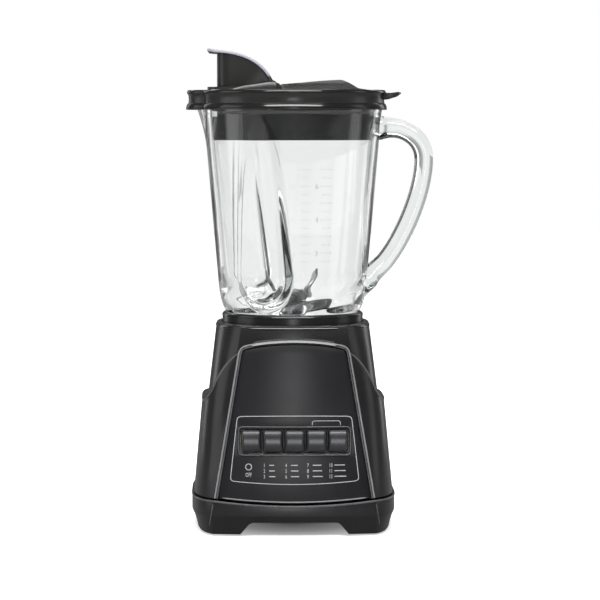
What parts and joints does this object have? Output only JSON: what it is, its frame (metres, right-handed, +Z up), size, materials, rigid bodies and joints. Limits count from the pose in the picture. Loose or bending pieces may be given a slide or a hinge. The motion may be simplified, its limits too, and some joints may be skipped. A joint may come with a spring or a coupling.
{
  "type": "countertop blender",
  "caption": "Countertop blender: handled glass jar with a screwed-on cutter and hinged pour cap on a black motor base with push buttons.",
  "frame": {"origin": "on the table plane under the rubber feet, on the motor shaft's axis", "axes": "+Z up along the motor shaft; -Y is the front with the buttons; +X is the side of the jar's handle"},
  "size_m": [0.2056, 0.1782, 0.3951],
  "materials": {
    "gloss_black": "smooth black moulded shell, semi-gloss",
    "panel_black": "dark satin panel",
    "lid_black": "black moulded lid, satin",
    "button_grey": "dark grey satin keys",
    "rubber": "soft black rubber",
    "coupling_rubber": "hard black rubber",
    "gasket": "pale sealing rubber",
    "steel": "plated steel",
    "blade_steel": "polished stainless steel",
    "lamination": "stacked steel sheet",
    "cast_alloy": "cast alloy",
    "bronze": "sintered bronze",
    "brass": "folded brass",
    "copper": "enamelled copper wire",
    "commutator_copper": "bare copper bars",
    "carbon": "matte carbon",
    "insulator": "pale insulating plastic",
    "fan_plastic": "dark fan plastic",
    "clear_glass": "clear moulded glass"
  },
  "bodies": {
    "base": {"upper_housing": "gloss_black", "cowl": "gloss_black", "control_panel": "panel_black", "button_bezel": "panel_black", "bottom_pan": "gloss_black", "rubber_feet": "rubber", "housing_screws": "steel", "cord_gland": "rubber", "switch_block": "insulator", "switch_screws": "steel", "stator_core": "lamination", "field_coils": "copper", "coil_bobbins": "insulator", "upper_bracket": "cast_alloy", "lower_bracket": "cast_alloy", "upper_bearing": "bronze", "lower_bearing": "bronze", "brush_holders": "brass", "carbon_brushes": "carbon", "brush_springs": "steel", "motor_spacers": "steel", "motor_bolts": "steel", "vibration_mounts": "rubber"},
    "armature": {"motor_shaft": "steel", "armature_core": "lamination", "armature_windings": "copper", "commutator": "commutator_copper", "cooling_fan": "fan_plastic", "base_clutch": "steel"},
    "jar": {"glass_jar": "clear_glass", "jar_handle": "clear_glass", "locking_ring": "gloss_black", "cutter_gasket": "gasket", "cutter_hub": "blade_steel", "cutter_bushes": "bronze", "cutter_seal": "rubber"},
    "cutter": {"cutter_shaft": "blade_steel", "upper_blade": "blade_steel", "lower_blade": "blade_steel", "blade_washer": "blade_steel", "blade_nut": "blade_steel", "jar_coupling": "coupling_rubber"},
    "lid": {"lid": "lid_black"},
    "pour_cap": {"pour_cap": "lid_black"},
    "button_1": {"button_1": "button_grey"},
    "button_2": {"button_2": "button_grey"},
    "button_3": {"button_3": "button_grey"},
    "button_4": {"button_4": "button_grey"},
    "button_5": {"button_5": "button_grey"}
  },
  "joints": [
    {"name": "armature_spin", "type": "hinge", "parent": "base", "child": "armature", "pos_m": [0, 0, 0.1], "axis": [0, 0, 1], "continuous": true},
    {"name": "jar_lift", "type": "slide", "parent": "base", "child": "jar", "axis": [0, 0, 1], "range_m": [0, 0.06]},
    {"name": "cutter_spin", "type": "hinge", "parent": "jar", "child": "cutter", "pos_m": [0, 0, 0.18], "axis": [0, 0, 1], "continuous": true},
    {"name": "lid_lift", "type": "slide", "parent": "jar", "child": "lid", "axis": [0, 0, 1], "range_m": [0, 0.06]},
    {"name": "cap_hinge", "type": "hinge", "parent": "lid", "child": "pour_cap", "pos_m": [-0.017, 0, 0.3653], "axis": [0, 1, 0], "range_deg": [-29, 55]},
    {"name": "button_1_press", "type": "slide", "parent": "base", "child": "button_1", "axis": [0, 0.9919, -0.127], "range_m": [0, 0.003], "stiffness_N_per_m": 300, "springref_m": -0.002},
    {"name": "button_2_press", "type": "slide", "parent": "base", "child": "button_2", "axis": [0, 0.9919, -0.127], "range_m": [0, 0.003], "stiffness_N_per_m": 300, "springref_m": -0.002},
    {"name": "button_3_press", "type": "slide", "parent": "base", "child": "button_3", "axis": [0, 0.9919, -0.127], "range_m": [0, 0.003], "stiffness_N_per_m": 300, "springref_m": -0.002},
    {"name": "button_4_press", "type": "slide", "parent": "base", "child": "button_4", "axis": [0, 0.9919, -0.127], "range_m": [0, 0.003], "stiffness_N_per_m": 300, "springref_m": -0.002},
    {"name": "button_5_press", "type": "slide", "parent": "base", "child": "button_5", "axis": [0, 0.9919, -0.127], "range_m": [0, 0.003], "stiffness_N_per_m": 300, "springref_m": -0.002}
  ],
  "couplings": [
    {"joint": "cutter_spin", "follows": "armature_spin", "ratio": 1}
  ]
}
